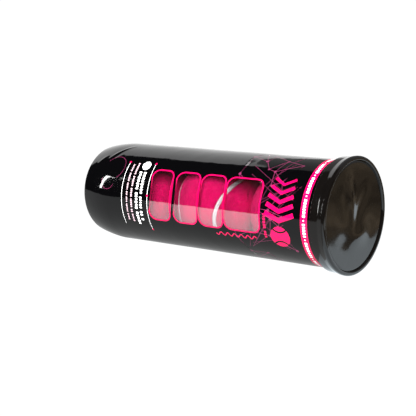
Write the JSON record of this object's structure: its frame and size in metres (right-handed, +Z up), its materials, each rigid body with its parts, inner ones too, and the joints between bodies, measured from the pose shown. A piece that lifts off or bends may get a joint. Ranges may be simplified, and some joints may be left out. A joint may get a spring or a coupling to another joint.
{
  "type": "tennis ball can",
  "caption": "Pressurised clear can of felt balls on its side: printed sleeve with windows, press-fit overcap, ring-pull metal end and domed base.",
  "frame": {"origin": "middle of the box round the whole can, on the floor it lies on", "axes": "+X from the domed base towards the overcap, level; the can's own axis rises towards +X by the tilt at which it lies on its overcap's rim and on the sleeve's shoulder; +Z up"},
  "size_m": [0.2216, 0.0802, 0.0802],
  "materials": {
    "pet_clear": "clear blown PET, smooth and glossy",
    "sleeve_print": "gloss black shrink film with pink and white print and clear windows",
    "end_metal": "bright lacquered aluminium sheet",
    "sealant": "grey sealing compound",
    "cap_black": "high-gloss injection-moulded black",
    "ball_rubber": "matt moulded rubber",
    "ball_felt": "napped hot pink felt",
    "ball_seam": "matt off-white rubber seam"
  },
  "bodies": {
    "can": {"can_body": "pet_clear", "shrink_sleeve": "sleeve_print", "end_ring": "end_metal", "sealing_compound": "sealant"},
    "overcap": {"overcap": "cap_black"},
    "tear_panel": {"tear_panel": "end_metal", "tab_web": "end_metal"},
    "pull_tab": {"pull_tab": "end_metal"},
    "ball_1": {"ball_1_felt_a": "ball_felt", "ball_1_felt_b": "ball_felt", "ball_1_seam": "ball_seam", "ball_1_core_half_a": "ball_rubber", "ball_1_core_half_b": "ball_rubber"},
    "ball_2": {"ball_2_felt_a": "ball_felt", "ball_2_felt_b": "ball_felt", "ball_2_seam": "ball_seam", "ball_2_core_half_a": "ball_rubber", "ball_2_core_half_b": "ball_rubber"},
    "ball_3": {"ball_3_felt_a": "ball_felt", "ball_3_felt_b": "ball_felt", "ball_3_seam": "ball_seam", "ball_3_core_half_a": "ball_rubber", "ball_3_core_half_b": "ball_rubber"}
  },
  "joints": [
    {"name": "overcap_pull_off", "type": "slide", "parent": "can", "child": "overcap", "axis": [0.9998, 0, 0.0178], "range_m": [0, 0.12]},
    {"name": "panel_peel", "type": "hinge", "parent": "can", "child": "tear_panel", "pos_m": [0.10663, 0, 0.07685], "axis": [0, -1, 0], "range_deg": [0, 100]},
    {"name": "tab_lift", "type": "hinge", "parent": "tear_panel", "child": "pull_tab", "pos_m": [0.10396, 0, 0.00922], "axis": [0, 1, 0], "range_deg": [0, 70]},
    {"name": "ball_1_shift", "type": "slide", "parent": "can", "child": "ball_1", "axis": [0.9998, 0, 0.0178], "range_m": [0, 0.0045]},
    {"name": "ball_2_shift", "type": "slide", "parent": "can", "child": "ball_2", "axis": [0.9998, 0, 0.0178], "range_m": [0, 0.0045]},
    {"name": "ball_3_shift", "type": "slide", "parent": "can", "child": "ball_3", "axis": [0.9998, 0, 0.0178], "range_m": [0, 0.0045]}
  ],
  "couplings": [
    {"joint": "panel_peel", "follows": "overcap_pull_off", "rad_per_m": 14.544},
    {"joint": "tab_lift", "follows": "overcap_pull_off", "rad_per_m": 10.181},
    {"joint": "ball_2_shift", "follows": "ball_1_shift", "ratio": 1},
    {"joint": "ball_3_shift", "follows": "ball_1_shift", "ratio": 1}
  ]
}
